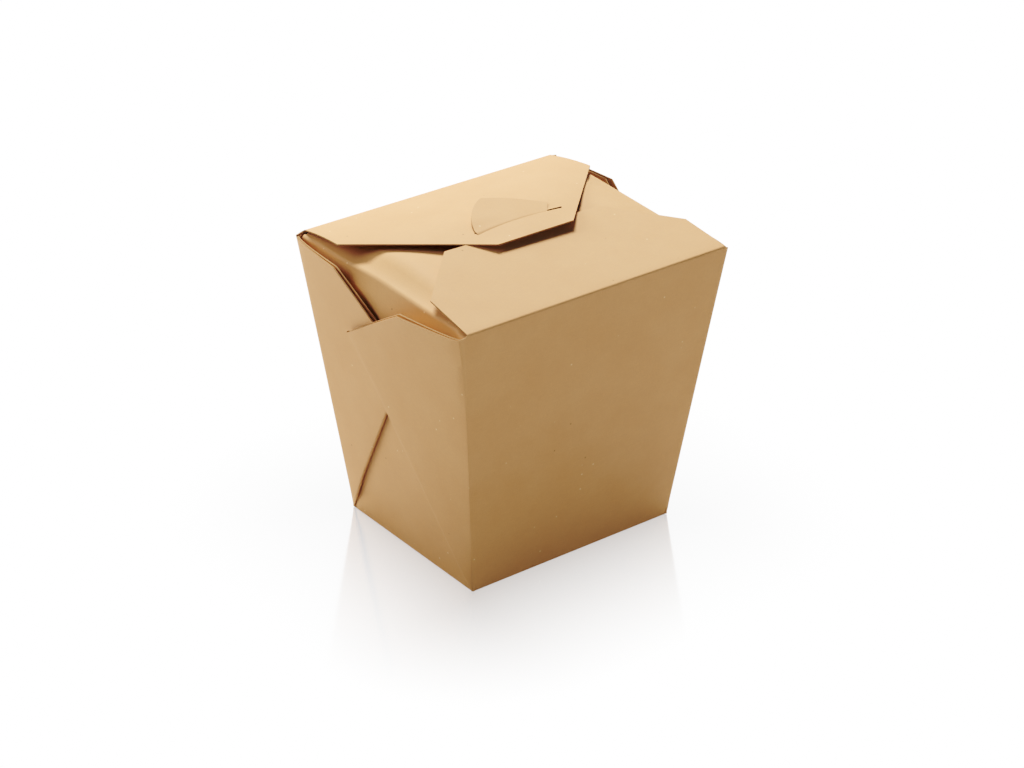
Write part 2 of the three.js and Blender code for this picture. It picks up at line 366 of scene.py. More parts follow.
def board_tree():
    tree = bpy.data.node_groups.new("board_thickness", "GeometryNodeTree")
    new_socket = tree.interface.new_socket
    kinds = {"Sheet": "Geometry", "Thickness": "Float", "Board": "Material", "Cut edge": "Material"}
    for name, kind in kinds.items():
        new_socket(name, in_out="INPUT", socket_type="NodeSocket" + kind)
    new_socket("Board sheet", in_out="OUTPUT", socket_type="NodeSocketGeometry")
    given = add_node(tree, "NodeGroupInput").outputs
    turned_in = {0: given["Thickness"], 1: -1.0}
    inwards = add_node(tree, "ShaderNodeMath", turned_in, operation="MULTIPLY").outputs[0]
    extruded = add_node(
        tree,
        "GeometryNodeExtrudeMesh",
        {"Mesh": given["Sheet"], "Offset Scale": inwards, "Individual": False},
        mode="FACES",
    )
    is_edge = add_node(
        tree,
        "GeometryNodeStoreNamedAttribute",
        {"Geometry": extruded.outputs["Mesh"], "Name": "cut_edge", "Value": extruded.outputs["Side"]},
        data_type="BOOLEAN",
        domain="FACE",
    )
    turned = add_node(tree, "GeometryNodeFlipFaces", {"Mesh": is_edge.outputs[0]})
    joined = add_node(tree, "GeometryNodeJoinGeometry")
    tree.links.new(given["Sheet"], joined.inputs[0])
    tree.links.new(turned.outputs[0], joined.inputs[0])
    welded = add_node(
        tree, "GeometryNodeMergeByDistance", {"Geometry": joined.outputs[0], "Distance": SEAM * MM}
    )
    made = add_node(tree, "GeometryNodeRealizeInstances", {"Geometry": welded.outputs[0]})
    board = add_node(
        tree, "GeometryNodeSetMaterial", {"Geometry": made.outputs[0], "Material": given["Board"]}
    )
    marked = add_node(
        tree, "GeometryNodeInputNamedAttribute", {"Name": "cut_edge"}, data_type="BOOLEAN"
    )
    is_cut = marked.outputs["Attribute"]
    inputs = {"Geometry": board.outputs[0], "Selection": is_cut, "Material": given["Cut edge"]}
    edged = add_node(tree, "GeometryNodeSetMaterial", inputs)
    add_node(tree, "NodeGroupOutput", {0: edged.outputs[0]})
    return tree


BOARD_TREE = board_tree()
SHARP_ANGLE = math.radians(38)  # the cut edges are sharper than this, and the folds are softer


def thicken(sheet, board, cut_edge):
    """Runs the board tree on a sheet and leaves a plain closed mesh."""
    modifier = sheet.modifiers.new("board", "NODES")
    modifier.node_group = BOARD_TREE
    inputs = {"Thickness": BOARD * MM, "Board": board, "Cut edge": cut_edge}
    for item in BOARD_TREE.interface.items_tree:
        if item.name in inputs:
            modifier[item.identifier] = inputs[item.name]
    seen = sheet.evaluated_get(bpy.context.evaluated_depsgraph_get())
    data = bpy.data.meshes.new_from_object(seen)
    sheet.modifiers.remove(modifier)
    sheet.data = data
    data.shade_smooth()
    data.set_sharp_from_angle(angle=SHARP_ANGLE)


print(f"the board tree has {len(BOARD_TREE.nodes)} nodes")

# %% [markdown]
# ## The board's two finishes
#
# Kraft board is unbleached wood pulp. Seen close it is a felt of fibres with a few paler and
# darker specks of bark, cloudy at the scale of a fingertip, and matt with a faint calendered
# sheen. The cut edge shows the core, which is rougher and holds more shade.
#
# Colours are written as they would be picked on a screen and turned to linear light by one
# function. The pattern sizes are real: a speck is about half a millimetre across, and a cloud is
# a centimetre or two. Single fibres are 0.03 mm thick, too fine for this picture, so they are drawn
# about eight times as coarse.

# %% Colour and pattern helpers


def linear(hex_colour):
    """An sRGB hex colour as linear red, green, blue and alpha."""
    channels = [int(hex_colour[i : i + 2], 16) / 255 for i in (1, 3, 5)]
    return [c / 12.92 if c <= 0.04045 else ((c + 0.055) / 1.055) ** 2.4 for c in channels] + [1.0]


def per_metre(size_mm):
    """The scale of a texture whose features are this size."""
    return 1 / (size_mm * MM)


def stretch(low, high, start=0.0, end=1.0):
    """The settings of a Map Range node that stretches low to high into start to end."""
    return {"From Min": low, "From Max": high, "To Min": start, "To Max": end}


def new_material(name):
    """A material, its tree and shader, and the place on the object for patterns."""
    material = bpy.data.materials.new(name)
    material.use_nodes = True
    tree = material.node_tree
    place = add_node(tree, "ShaderNodeTexCoord").outputs["Object"]
    return material, tree, tree.nodes["Principled BSDF"], place


print(f"features of 1 mm need a scale of {per_metre(1):.0f}")

# %% The colours and pattern sizes of kraft board
KRAFT_LIGHT = "#c79a6d"
KRAFT_DARK = "#c39568"
KRAFT_CREASE = "#d2aa80"  # the broken fibres of a fold
KRAFT_FLECK_PALE = "#d6b68a"
KRAFT_FLECK_DARK = "#a07a52"
KRAFT_EDGE = "#a9835c"
KRAFT_EDGE_DARK = "#8f6c48"

CLOUD_SIZE = 16
FIBRE_LENGTH = 2.4
FIBRE_WIDTH = 0.25
FIBRE_SHADE = (0.94, 1.06)  # how much darker and lighter the fibres are
FIBRE_ROUGHNESS = (0.62, 0.8)
FIBRE_RELIEF = 0.05
CREASE_SHARE = 0.15  # how much of the crease's colour shows
FLECK_RADIUS = 0.4
FLECKS_PALE = {"spacing": 4.6, "share": 0.3}  # the share of the pattern's cells that hold one
FLECKS_DARK = {"spacing": 6.5, "share": 0.25}
TEAR_SIZE = 0.8  # of the open core at a cut edge
BOARD_IOR = 1.45
BOARD_SHEEN = 0.3  # a matt board reflects less than a smooth solid of its IOR
CUT_EDGE_ROUGHNESS = 0.9
print(f"{FIBRE_LENGTH} mm fibres, {CLOUD_SIZE} mm clouds")

# %% Flecks and fibres


def flecks(tree, place, spacing, share):
    """A mask of sparse specks: small balls in some of the cells of a Voronoi pattern."""
    radius = FLECK_RADIUS / spacing
    inputs = {"Vector": place, "Scale": per_metre(spacing)}
    cells = add_node(tree, "ShaderNodeTexVoronoi", inputs)
    inputs = {"Value": cells.outputs["Distance"]} | stretch(radius / 2, radius, 1.0, 0.0)
    ball = add_node(tree, "ShaderNodeMapRange", inputs)
    lot = add_node(tree, "ShaderNodeSeparateColor", {"Color": cells.outputs["Color"]})
    chosen = add_node(tree, "ShaderNodeMath", {0: lot.outputs[0], 1: share}, operation="LESS_THAN")
    both = {0: ball.outputs[0], 1: chosen.outputs[0]}
    return add_node(tree, "ShaderNodeMath", both, operation="MULTIPLY").outputs[0]


def fibre_noise(tree, place, size):
    """Noise that is drawn out along the fibres."""
    scale = [per_metre(s) for s in size]
    lying = add_node(tree, "ShaderNodeMapping", {"Vector": place, "Scale": scale})
    inputs = {"Vector": lying.outputs[0], "Scale": 1.0, "Detail": 2.0, "Roughness": 0.6}
    return add_node(tree, "ShaderNodeTexNoise", inputs).outputs[0]


print(f"flecks lie in {FLECKS_PALE['share']:.0%} and {FLECKS_DARK['share']:.0%} of their cells")

# %% Kraft board


def kraft_board():
    """Unbleached kraft board, calendered on the outside: matt, warm brown and finely flecked."""
    material, tree, shader, place = new_material("kraft_board")

    # a noise stays near 0.5, so its range is stretched
    inputs = {"Vector": place, "Scale": per_metre(CLOUD_SIZE), "Detail": 5.0, "Roughness": 0.62}
    cloud = add_node(tree, "ShaderNodeTexNoise", inputs)
    cloudy = add_node(tree, "ShaderNodeMapRange", {"Value": cloud.outputs[0]} | stretch(0.3, 0.7))

    # a Mix node of colours blends its inputs 6 and 7, and gives its output 2
    blend = {0: cloudy.outputs[0], 6: linear(KRAFT_DARK), 7: linear(KRAFT_LIGHT)}
    colour = add_node(tree, "ShaderNodeMix", blend, data_type="RGBA").outputs[2]

    crossing = []
    for axis in range(3):
        size = [FIBRE_WIDTH] * 3
        size[axis] = FIBRE_LENGTH
        crossing.append(fibre_noise(tree, place, size))
    felt = crossing[0]
    for other in crossing[1:]:
        felt = add_node(tree, "ShaderNodeMath", {0: felt, 1: other}, operation="MAXIMUM").outputs[0]
    inputs = {"Value": felt} | stretch(0.45, 0.8, *FIBRE_SHADE)
    shade = add_node(tree, "ShaderNodeMapRange", inputs)
    shaded = {0: 1.0, 6: colour, 7: shade.outputs[0]}
    toned = add_node(tree, "ShaderNodeMix", shaded, data_type="RGBA", blend_type="MULTIPLY")
    colour = toned.outputs[2]

    crease = add_node(tree, "ShaderNodeAttribute", attribute_name="crease").outputs["Fac"]
    broken = add_node(tree, "ShaderNodeMath", {0: crease, 1: CREASE_SHARE}, operation="MULTIPLY")
    pale = flecks(tree, place, **FLECKS_PALE)
    dark = flecks(tree, place, **FLECKS_DARK)
    overlays = [(broken.outputs[0], KRAFT_CREASE), (pale, KRAFT_FLECK_PALE), (dark, KRAFT_FLECK_DARK)]
    for amount, hex_colour in overlays:
        blend = {0: amount, 6: colour, 7: linear(hex_colour)}
        colour = add_node(tree, "ShaderNodeMix", blend, data_type="RGBA").outputs[2]
    tree.links.new(colour, shader.inputs["Base Color"])

    inputs = {"Value": felt} | stretch(0.4, 0.8, *FIBRE_ROUGHNESS)
    rough = add_node(tree, "ShaderNodeMapRange", inputs)
    tree.links.new(rough.outputs[0], shader.inputs["Roughness"])
    relief = {"Height": felt, "Strength": 0.25, "Distance": FIBRE_RELIEF * MM}
    bump = add_node(tree, "ShaderNodeBump", relief)
    tree.links.new(bump.outputs[0], shader.inputs["Normal"])
    shader.inputs["IOR"].default_value = BOARD_IOR
    shader.inputs["Specular IOR Level"].default_value = BOARD_SHEEN
    return material


KRAFT = kraft_board()
print(f"{KRAFT.name}: {len(KRAFT.node_tree.nodes)} nodes")

# %% The cut edge


def kraft_cut_edge():
    """The core of the board at a die-cut edge: rough open pulp, which swallows light."""
    material, tree, shader, place = new_material("kraft_cut_edge")
    inputs = {"Vector": place, "Scale": per_metre(TEAR_SIZE), "Detail": 3.0}
    torn = add_node(tree, "ShaderNodeTexNoise", inputs)
    blend = {0: torn.outputs[0], 6: linear(KRAFT_EDGE_DARK), 7: linear(KRAFT_EDGE)}
    colour = add_node(tree, "ShaderNodeMix", blend, data_type="RGBA")
    tree.links.new(colour.outputs[2], shader.inputs["Base Color"])
    shader.inputs["Roughness"].default_value = CUT_EDGE_ROUGHNESS
    shader.inputs["IOR"].default_value = BOARD_IOR
    return material


CUT_EDGE = kraft_cut_edge()
print(f"{CUT_EDGE.name}: {len(CUT_EDGE.node_tree.nodes)} nodes")

# %% Finishing a piece


def finish_piece(sheet):
    """Gives a sheet its thickness and finishes, and ties it to the frame."""
    thicken(sheet, KRAFT, CUT_EDGE)
    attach(sheet, "root")
    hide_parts("carton")
    print(f"{sheet.name}: {len(sheet.data.polygons)} faces")
    return sheet


# %% [markdown]
# ## The top flaps
#
# The front flap leans up from its hinge. The back flap curls away from its own, lies over the
# front one and is crowned by the tongue that pushes up through its slit. Both keep the heights
# that the solid has. The front flap's tongue climbs through the slit and lies back on top.

# %% The sizes of the flaps
FRONT_SLOPE = 0.155
FRONT_TWIST = 0.0007  # the left half of the front flap stands a little higher than the right
FRONT_OUTLINE = [  # the place along Y, and the left and right side there
    (-RIM_HALF_DEPTH, -51.1, 52.1),
    (-26.1, -50.8, 51.8),
    (-6.2, -30.9, 31.9),
]
BACK_OUTLINE = [  # the same, before the half turn that takes it to the back
    (-RIM_HALF_DEPTH, -51.6, 49.3),
    (-23.3, -51.5, 51.5),
    (13.5, -15.1, 15.1),
]
BACK_SHOULDER_RISE = 4.05  # above the hinge
BACK_EDGE_RISE = 7.83
BACK_CROWN = 2  # how much higher its middle is than its sides
BACK_CROWN_POWER = 1.8  # moves the crown towards the tongue
BACK_DROP = 0.4  # the right end of the back flap's hinge is this much lower than the left

LOCK_CENTRE = 1.2
NECK = (-16, 12.6)  # the tongue's left and right side where it passes the slit
TONGUE_LEFT = [(-16, -2.2), (-12, 8), (-2.5, 13.1)]  # start, pull and end of its left side
TONGUE_RIGHT = [(16.4, 1.5), (7, 9.5), (-2.5, 13.1)]  # the same on its right, from the ear
TONGUE_TILT = 0.11
TONGUE_CURL = 0.5  # how far its left side lifts
TONGUE_CURL_REACH = 6  # how far past the slit that lift is full
TONGUE_SINK = 0.42  # its right side stays down in the slit
TONGUE_SINK_REACH = 14  # how far to the right the sink is full
SLIT_HALF = 17.4
SLIT_Y = -2.9
SLIT_WIDTH = 1.0
LIP = 0.15  # how far the slit's two lips are pushed apart, up and down
LIP_REACH = 4  # how far from the slit a lip has mostly gone
print(f"the tongue is {TONGUE_RIGHT[-1][1] - SLIT_Y:.0f} mm long past its slit")

# %% The heights of the flaps


def front_height(x, y):
    return HEIGHT + (y + RIM_HALF_DEPTH) * (FRONT_SLOPE - FRONT_TWIST * x)


def back_height(x, y):
    (hinge, _, _), (shoulder, _, side), (edge, _, tip_half) = BACK_OUTLINE
    from_hinge = RIM_HALF_DEPTH - y
    bend_length = shoulder - hinge
    length = edge - hinge
    slope = (BACK_EDGE_RISE - BACK_SHOULDER_RISE) / (length - bend_length)
    hinge_slope = 2 * BACK_SHOULDER_RISE / bend_length - slope
    curl = (hinge_slope - slope) / (2 * bend_length) * max(0, bend_length - from_hinge) ** 2
    straight = BACK_SHOULDER_RISE + slope * (from_hinge - bend_length)
    half = max(min(side, tip_half + edge + y), tip_half)
    across = 1 - min(1, (x / half) ** 2)
    along = math.sin(math.pi * clamp(max(0, from_hinge / length) ** BACK_CROWN_POWER))
    in_slit = max(0, 1 - ((x - LOCK_CENTRE) / SLIT_HALF) ** 2)
    lip = math.copysign(LIP, SLIT_Y - y) * in_slit * math.exp(-abs(y - SLIT_Y) / LIP_REACH)
    drop = BACK_DROP * (0.5 + x / (2 * RIM_HALF_WIDTH))
    return HEIGHT + straight - curl + BACK_CROWN * across * along + lip - drop


def tongue_height(x, y):
    """From the front flap up through the slit, then free above the back flap."""
    through = smooth((y - FRONT_OUTLINE[-1][0]) / (SLIT_Y - FRONT_OUTLINE[-1][0]))
    past_slit = y - SLIT_Y
    curl = TONGUE_CURL * clamp(x / NECK[0]) * smooth(past_slit / TONGUE_CURL_REACH)
    lift = TONGUE_TILT * past_slit + curl - TONGUE_SINK * smooth(x / TONGUE_SINK_REACH)
    free = back_height(x, SLIT_Y + SLIT_WIDTH / 2) + BOARD + lift
    return mix(front_height(x, y), free, through)


print(f"the back flap's middle is {back_height(0, 0) - HEIGHT:.1f} mm above the hinges")

# %% The sides of the flaps


def side_at(side, y):
    """The X of one side of the tongue, which is a curve pulled by its middle point."""
    (x0, y0), (x1, y1), (x2, y2) = side
    a = y0 - 2 * y1 + y2
    b = 2 * (y1 - y0)
    t = (-b + math.sqrt(max(0, b * b - 4 * a * (y0 - y)))) / (2 * a)
    return x0 * (1 - t) ** 2 + 2 * x1 * t * (1 - t) + x2 * t**2


def tongue_sides(y):
    """The tongue's left and right side at a place along Y."""
    left = side_at(TONGUE_LEFT, y) if y > TONGUE_LEFT[0][1] else NECK[0]
    if y > TONGUE_RIGHT[0][1]:
        return left, side_at(TONGUE_RIGHT, y)
    return left, mix(NECK[1], TONGUE_RIGHT[0][0], clamp((y - SLIT_Y) / (TONGUE_RIGHT[0][1] - SLIT_Y)))


def flap_sides(outline, y):
    """The flap's left and right side at a place along Y."""
    for (y0, left0, right0), (y1, left1, right1) in zip(outline, outline[1:]):
        if y <= y1:
            break
    t = (y - y0) / (y1 - y0)
    return mix(left0, left1, t), mix(right0, right1, t)


def across_at(sides, x):
    """A place between the two sides, as -1 at the left one to 1 at the right one."""
    left, right = sides
    return (2 * x - left - right) / (right - left)


def x_at(sides, across):
    left, right = sides
    return mix(left, right, (across + 1) / 2)


tongue_left, tongue_right = tongue_sides(0)
print(f"the tongue is {tongue_right - tongue_left:.0f} mm wide at Y 0")

# %% [markdown]
# ## A wide panel with all that hangs from it
#
# The front panel, its flap, its tongue and the gussets at both of its sides are one run of board,
# and the back is the same with the other flap. So one function makes both, and the back one is
# turned half a turn about the upright axis: the box itself has that symmetry, with the gusset on
# the left of each wide panel lying on top.

# %% The columns of a gusset and its upright fold
LOOP_STEPS = 6
GUSSET_STEPS = 16
FOLD_STEPS = 10
CORNER_STEPS = 6
FOOT_STEPS = 5  # from a wall round to the base
NEARLY = 1e-6  # rows this much past a height still count as at it


def side_columns(gusset, share, is_wall):
    """From the loop, round the gusset, to just before the panel: the points at the left side."""
    count = LOOP_STEPS + GUSSET_STEPS + FOLD_STEPS + GUSSET_STEPS
    if not is_wall or share > TIP_SHARE + NEARLY:
        return [None] * count
    edge = gusset_edge(gusset, share)
    radius = fold_radius(gusset, share)
    loop_in, loop_stand = loop_end(gusset, share)
    loop = loop_radius(gusset, share)
    profile = []
    for turn in steps(math.pi, 0, LOOP_STEPS)[:-1]:
        inwards = loop_in - loop * math.sin(turn)
        profile.append((inwards, loop_stand + loop * (1 + math.cos(turn)), 0.0))
    inner_edge = edge + gusset["slip"] * smooth((share - FOLD_END_SHARE) / SLIPPING)
    for inwards in steps(loop_in, inner_edge, GUSSET_STEPS)[:-1]:
        inner = gusset_stand(gusset, inwards, share) - layer_gap(gusset, inwards, share)
        profile.append((inwards, inner, 0.0))
    if share <= FOLD_END_SHARE + NEARLY:
        top = gusset_stand(gusset, edge, share)
        for turn in steps(math.pi, 0, FOLD_STEPS)[:-1]:
            inwards = edge + FOLD_STRETCH * radius * math.sin(turn)
            profile.append((inwards, top - radius * (1 - math.cos(turn)), math.sin(turn)))
    else:
        inner = gusset_stand(gusset, edge, share) - layer_gap(gusset, edge, share)
        profile.append((inner_edge, inner, 0.0))
        profile += [None] * (FOLD_STEPS - 1)
    for inwards in steps(edge, FOLD_RADIUS * pinch(share), GUSSET_STEPS)[:-1]:
        profile.append((inwards, gusset_stand(gusset, inwards, share), 0.0))
    return [p and (on_end(p[0], p[1], share), p[2]) for p in profile]


def corner_columns(gusset, share):
    """The upright fold, from the end round to the panel's side."""
    radius = FOLD_RADIUS * pinch(share)
    start = on_end(radius, gusset_stand(gusset, radius, share), share)
    corner = on_end(0, gusset["root"] + gusset["corner"] * share**SPRING_POWER, share)
    end = on_end(0, 0, share) + Vector((radius, 0, 0))
    return [(bend(start, corner, end, t), 4 * t * (1 - t)) for t in steps(0, 1, CORNER_STEPS)[:-1]]


def mirrored(columns):
    return [p and (Vector((-p[0].x, p[0].y, p[0].z)), p[1]) for p in reversed(columns)]


print(f"a gusset has {len(side_columns(OVER_LEFT, 0.5, True))} columns")

# %% The panel and the fold below it
PANEL_COLUMNS = 28
RIM_STEPS = 6
POINT_SHARE = 0.12  # rows lie closer below this height, where the gussets come to a point


def panel_point(across, share):
    """A point of the wide panel: across from -1 to 1, and up."""
    x = across * (half_width(share) - FOLD_RADIUS * pinch(share))
    bow = BULGE * (1 - across**2) * math.sin(math.pi * share)
    return Vector((x, -half_depth(share) - bow, HEIGHT * share))


def under_fold(wall_row, base_row, t):
    """Turns a row of the wall in under the box, to the base's edge."""
    points = []
    for wall, base in zip(wall_row, base_row):
        if wall is None or base is None:
            points.append(None)
            continue
        foot = Vector((base[0].x, base[0].y, 0))
        x = max(-BASE_HALF_WIDTH + FOLD_RADIUS, min(BASE_HALF_WIDTH - FOLD_RADIUS, foot.x))
        inner = Vector((x, max(foot.y, -BASE_HALF_DEPTH + FOLD_RADIUS), 0))
        points.append((bend(wall[0], foot, inner, t), max(wall[1], 4 * t * (1 - t))))
    return points


def wall_shares():
    """The heights of the rows, closer together where the gussets spring and end."""
    low = FOLD_RADIUS / HEIGHT
    top = 1 - RIM_RADIUS / HEIGHT
    shares = steps(low, POINT_SHARE, 6)[:-1] + steps(POINT_SHARE, FOLD_END_SHARE, 14)[:-1]
    return shares + steps(FOLD_END_SHARE, TIP_SHARE, 12) + [top]


print(f"a wall has {len(wall_shares())} rows")

# %% The whole wrap


def wrap(name, over, under, flap_height, flap_rows, outline, columns, tongue=None, slit=None, facing=1):
    """A wide panel, the gussets at its left and right, and its flap, as one sheet."""
    blank = Blank(name)
    flat = len(side_columns(over, 0.5, True)) + CORNER_STEPS

    def whole_row(share, is_gusset=True):
        left = side_columns(over, share, is_gusset) + corner_columns(over, share)
        right = side_columns(under, share, is_gusset) + corner_columns(under, share)
        middle = [(panel_point(across, share), 0.0) for across in columns]
        return left + middle + mirrored(right)

    shares = wall_shares()
    first = whole_row(shares[0], is_gusset=False)
    foot = whole_row(0.0, is_gusset=False)
    for t in steps(1, 0, FOOT_STEPS)[:-1]:
        blank.add_row(under_fold(first, foot, t))
    for share in shares:
        blank.add_row(whole_row(share))

    def flap_row(places):
        return [None] * flat + places + [None] * flat

    def on_flap(across, y):
        x = x_at(flap_sides(outline, y), across)
        return Vector((x, y, flap_height(x, y)))

    hinge = outline[0][0]
    past_hinge = hinge + RIM_RADIUS
    for t in steps(0, 1, RIM_STEPS)[1:]:
        places = []
        for across in columns:
            start = panel_point(across, shares[-1])
            bent = bend(start, on_flap(across, hinge), on_flap(across, past_hinge), t)
            places.append((bent, 4 * t * (1 - t)))
        blank.add_row(flap_row(places))
    for y in flap_rows:
        blank.add_row(flap_row([(on_flap(across, y), 0.0) for across in columns]))
        if slit and y == flap_rows[slit["row"]]:
            row = len(blank.rows) - 1
            for c in range(slit["from"], slit["to"]):
                blank.cut.add((row, flat + c))
    if tongue:
        first, last = [columns.index(edge) for edge in tongue["neck"]]
        for y in tongue["rows"]:
            left, right = tongue_sides(y)
            places = []
            for c, across in enumerate(columns):
                if first <= c <= last:
                    x = mix(left, right, (across - columns[first]) / (columns[last] - columns[first]))
                    places.append((Vector((x, y, tongue_height(x, y))), 0.0))
                else:
                    places.append(None)
            blank.add_row(flap_row(places))
    return finish_piece(blank.to_object(facing))


def with_stops(count, stops):
    """Even columns from side to side, with the nearest ones moved to the stops."""
    columns = steps(-1, 1, count)
    for stop in stops:
        nearest = min(range(1, count), key=lambda i: abs(columns[i] - stop))
        columns[nearest] = stop
    return columns


# %% The front wrap
neck_stops = [across_at(FRONT_OUTLINE[-1][1:], side) for side in NECK]
front_columns = with_stops(PANEL_COLUMNS, neck_stops)
past_hinge = -RIM_HALF_DEPTH + RIM_RADIUS
shoulder, tip = FRONT_OUTLINE[1][0], FRONT_OUTLINE[2][0]
front_rows = steps(past_hinge, shoulder, 8)[1:] + steps(shoulder, tip, 8)[1:]
ear_y, tongue_tip_y = TONGUE_RIGHT[0][1], TONGUE_RIGHT[2][1]
clear_of_slit = SLIT_Y + 0.9
tongue_rows = steps(tip, clear_of_slit, 8)[1:] + steps(clear_of_slit, ear_y, 5)[1:]
tongue_rows += steps(ear_y, tongue_tip_y - 0.1, 14)[1:]  # its tip is cut 0.1 mm short, to be blunt
front = wrap(
    "front_wrap",
    OVER_LEFT,
    UNDER_RIGHT,
    front_height,
    front_rows,
    FRONT_OUTLINE,
    front_columns,
    tongue={"neck": neck_stops, "rows": tongue_rows},
)

# %% The back wrap, half a turn round
slit_y = -SLIT_Y
slit_sides = flap_sides(BACK_OUTLINE, slit_y)
slit_stops = [across_at(slit_sides, -LOCK_CENTRE + s * SLIT_HALF) for s in (-1, 1)]
back_columns = with_stops(PANEL_COLUMNS, slit_stops)
shoulder, tip = BACK_OUTLINE[1][0], BACK_OUTLINE[2][0]
slit_start, slit_end = slit_y - SLIT_WIDTH / 2, slit_y + SLIT_WIDTH / 2
back_rows = steps(past_hinge, shoulder, 8)[1:] + steps(shoulder, slit_start, 10)[1:]
slit_row = len(back_rows) - 1
back_rows += steps(slit_end, tip, 6)
back = wrap(
    "back_wrap",
    OVER_RIGHT,
    UNDER_LEFT,
    lambda x, y: back_height(-x, -y),
    back_rows,
    BACK_OUTLINE,
    back_columns,
    slit={
        "row": slit_row,
        "from": back_columns.index(slit_stops[0]),
        "to": back_columns.index(slit_stops[1]),
    },
    facing=-1,
)

# %% [markdown]
# ## The ends and their dust flaps
#
# Behind the gussets stands the end panel. It leans in a little towards the rim, rolls over with a
# soft fold and runs in under the top flaps as the dust flap. Its sides are tucked in where the
# loops of the gussets carry it. No two ends are pushed shut quite alike, so each has its own small
# numbers for how it came to rest. The right one's are from before its half turn.

# %% How the ends came to rest
LEFT_REST = {
    "recess": 2.1,  # how far the end panel leans in at the rim
    "rise": 0.15,  # how far its crest is lifted
    "tilt": 0.026,  # and how much more for each millimetre along Y
    "held": (0, 31, 1.5),  # it is held down: the Y where that starts and is full, and how far
    "dust": (4.0, 51, 38),  # the dust flap's arch: its rise, and the X where it starts and is full
}
RIGHT_REST = {
    "recess": 1.4,
    "rise": 1.5,
    "tilt": -0.045,
    "held": (-20, -45.8, 2.3),
    "dust": (2.9, 50, 34),
}
TILT_END = -20  # beyond this Y the crest is level
RECESS_START = 78  # how far up the slope the end panel starts to lean in
NESTLE = 0.1  # between the inner half of a gusset and the end panel behind it
SETTLE_RUN = (4, 11)  # how far from the loop the panel nestles there, low down and at the rim
SETTLE_POWER = 6  # it changes mostly near the rim
HOLD_RUN = (8, 42)  # the gusset's hold on the panel eases between these, in from the upright fold
HOLD_LEAST = 0.5  # what is left of that hold
HOLD_FOOT = 0.1  # the share of the height over which it grows from the base
LOOP_HOLD = 2  # this near the loop it is there even at the base
ROLL_RUN = 7  # how far in from the loop the panel is quite free to roll
ROLL_RADIUS = 1.5
CREST_DROP = 1.05  # how far below the end's full slope the top of the roll is
ROLL_START = END_SLANT - CREST_DROP - ROLL_RADIUS
ROLL_CREASE = 0.8
MIDDLE = 24  # the width over which the panel passes from one gusset to the other
DUST_DROP = 0.6
DUST_INNER_X = 20
DUST_TAPER = 0.72  # the width of a dust flap's inner edge, as a share of its fold's
DUST_EASE = 0.25  # the share of its length over which it takes its own height
END_COLUMNS = 30
ROLL_STEPS = 8
DUST_STEPS = 12


def rest_rise(rest, y):
    start, end, drop = rest["held"]
    return rest["rise"] + rest["tilt"] * max(y, TILT_END) - drop * smooth((y - start) / (end - start))


def dust_height(rest, x, y):
    crown, fold_x, risen_x = rest["dust"]
    across = clamp((fold_x - abs(x)) / (fold_x - risen_x))
    arch = crown * (1 - (1 - across) ** 2) * (1 - (y / RIM_HALF_DEPTH) ** 2)
    return HEIGHT - DUST_DROP + arch + rest_rise(rest, y)


print(f"the end panels roll over {ROLL_START:.1f} mm up their slope")

# %% End panels


def leant(share):
    """0 where the end panel is held by the gussets, and 1 where it rolls over at the rim."""
    return clamp((share * END_SLANT - RECESS_START) / (ROLL_START - RECESS_START))


def end_stand(inwards, share, gusset, rest):
    """How far the end panel's face is from the end's plane, behind one of the gussets."""
    loop_in, loop_stand = loop_end(gusset, share)
    near = min(inwards, gusset_edge(gusset, share))
    inner = gusset_stand(gusset, near, share) - layer_gap(gusset, near, share)
    from_loop = inwards - loop_in
    settled = smooth(from_loop / mix(*SETTLE_RUN, share**SETTLE_POWER))
    behind = mix(loop_stand, inner - BOARD - NESTLE, settled)
    easing, eased = HOLD_RUN
    held = mix(1, HOLD_LEAST, smooth((inwards - easing) / (eased - easing)))
    held *= max(smooth(share / HOLD_FOOT), 1 - smooth(from_loop / LOOP_HOLD))
    rolled = smooth((share * END_SLANT - ROLL_START) / gusset["free"] + 1)
    rolled *= smooth(from_loop / ROLL_RUN)
    return mix(-rest["recess"] * leant(share), behind, held * (1 - rolled))


def end_row(share, front_gusset, back_gusset, rest, roll=0.0):
    """A row of the end panel from back to front, turned over by the roll's angle."""
    points = []
    depth = half_depth(share)
    for across in steps(1, -1, END_COLUMNS):
        gusset = front_gusset if across < 0 else back_gusset
        loop_in = loop_end(gusset, share)[0]
        y = across * (depth - loop_in)
        stand = mix(
            end_stand(depth + y, share, front_gusset, rest),
            end_stand(depth - y, share, back_gusset, rest),
            smooth(0.5 + y / MIDDLE),
        )
        up_share = share + ROLL_RADIUS * math.sin(roll) / END_SLANT
        stand -= ROLL_RADIUS * (1 - math.cos(roll))
        place = on_end(y + half_depth(up_share), stand, up_share)
        place.z += rest_rise(rest, y) * leant(share)
        points.append((place, math.sin(2 * roll) * ROLL_CREASE))
    return points


